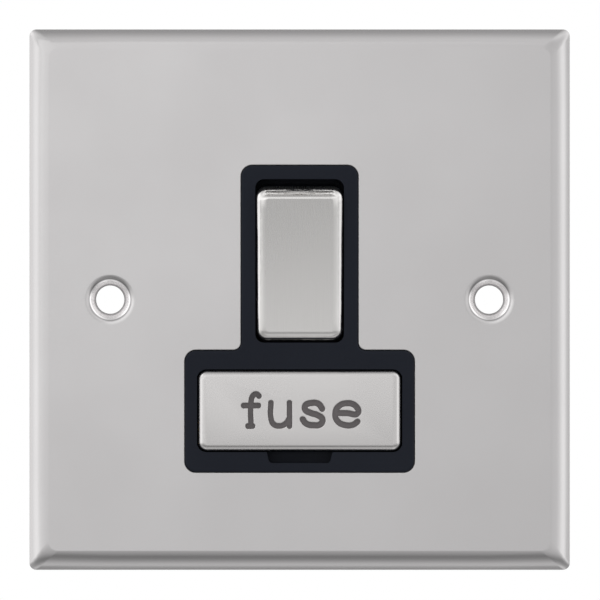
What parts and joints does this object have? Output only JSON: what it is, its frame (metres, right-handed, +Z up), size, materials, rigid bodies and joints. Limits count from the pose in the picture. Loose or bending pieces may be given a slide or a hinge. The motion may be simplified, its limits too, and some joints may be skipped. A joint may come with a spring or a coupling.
{
  "type": "fused spur unit",
  "caption": "Fused spur unit for a single-gang wall box: satin nickel plate, black moulding, double-pole rocker switch and a pull-out drawer for a cartridge fuse.",
  "frame": {"origin": "centre of the front plate on the wall line, which is the plane of its rear rim", "axes": "+X to the right seen from the front, +Y into the wall, +Z up; the front faces -Y"},
  "size_m": [0.086, 0.0283, 0.086],
  "materials": {
    "satin_nickel": "satin",
    "black_moulding": "fine matt",
    "base_moulding": "matt",
    "white_nylon": "matt",
    "spring_steel": "drawn wire",
    "plated_steel": "zinc plated",
    "copper_alloy": "rolled sheet",
    "strip_brass": "rolled sheet",
    "terminal_brass": "machined",
    "contact_silver": "silver face",
    "end_cap_nickel": "bright nickel",
    "fuse_ceramic": "unglazed"
  },
  "bodies": {
    "housing": {"front_plate": "satin_nickel", "plate_studs": "plated_steel", "stud_washers": "plated_steel", "stud_nuts": "plated_steel", "insert_moulding": "black_moulding", "live_fixed_strip": "strip_brass", "live_fixed_contact": "contact_silver", "neutral_fixed_strip": "strip_brass", "neutral_fixed_contact": "contact_silver", "live_pivot_bracket": "strip_brass", "neutral_pivot_bracket": "strip_brass", "load_live_strip": "strip_brass", "fuse_clip_in": "copper_alloy", "fuse_clip_out": "copper_alloy", "supply_live_terminal": "terminal_brass", "supply_neutral_terminal": "terminal_brass", "load_live_terminal": "terminal_brass", "load_neutral_terminal": "terminal_brass", "earth_terminal": "terminal_brass", "terminal_screws": "plated_steel", "earth_strap": "strip_brass", "rear_base": "base_moulding", "base_screws": "plated_steel"},
    "rocker": {"rocker_cap": "satin_nickel", "rocker_body": "black_moulding", "live_plunger_spring": "spring_steel", "neutral_plunger_spring": "spring_steel"},
    "live_push": {"live_plunger": "white_nylon"},
    "neutral_push": {"neutral_plunger": "white_nylon"},
    "live_arm": {"live_contact_arm": "copper_alloy", "live_moving_contact": "contact_silver"},
    "neutral_arm": {"neutral_contact_arm": "copper_alloy", "neutral_moving_contact": "contact_silver"},
    "fuse_drawer": {"fuse_carrier": "black_moulding", "fuse_carrier_cap": "satin_nickel", "fuse_tube": "fuse_ceramic", "fuse_end_caps": "end_cap_nickel"}
  },
  "joints": [
    {"name": "rocker_tilt", "type": "hinge", "parent": "housing", "child": "rocker", "pos_m": [0, 0.0018, 0.00615], "axis": [-1, 0, 0], "range_deg": [0, 14]},
    {"name": "drawer_slide", "type": "slide", "parent": "housing", "child": "fuse_drawer", "axis": [0, -1, 0], "range_m": [0, 0.013]},
    {"name": "live_plunger_push", "type": "slide", "parent": "rocker", "child": "live_push", "axis": [0, -0.9925, -0.1219], "range_m": [0, 0.0008], "stiffness_N_per_m": 800, "springref_m": -0.001, "deforming": ["live_plunger_spring"]},
    {"name": "neutral_plunger_push", "type": "slide", "parent": "rocker", "child": "neutral_push", "axis": [0, -0.9925, -0.1219], "range_m": [0, 0.0008], "stiffness_N_per_m": 800, "springref_m": -0.001, "deforming": ["neutral_plunger_spring"]},
    {"name": "live_arm_tilt", "type": "hinge", "parent": "housing", "child": "live_arm", "pos_m": [0.0034, 0.01165, 0.00615], "axis": [1, 0, 0], "range_deg": [0, 17]},
    {"name": "neutral_arm_tilt", "type": "hinge", "parent": "housing", "child": "neutral_arm", "pos_m": [-0.0034, 0.01165, 0.00615], "axis": [1, 0, 0], "range_deg": [0, 17]}
  ],
  "couplings": [
    {"joint": "live_arm_tilt", "follows": "rocker_tilt", "ratio": 1.2143},
    {"joint": "neutral_arm_tilt", "follows": "rocker_tilt", "ratio": 1.2143}
  ]
}
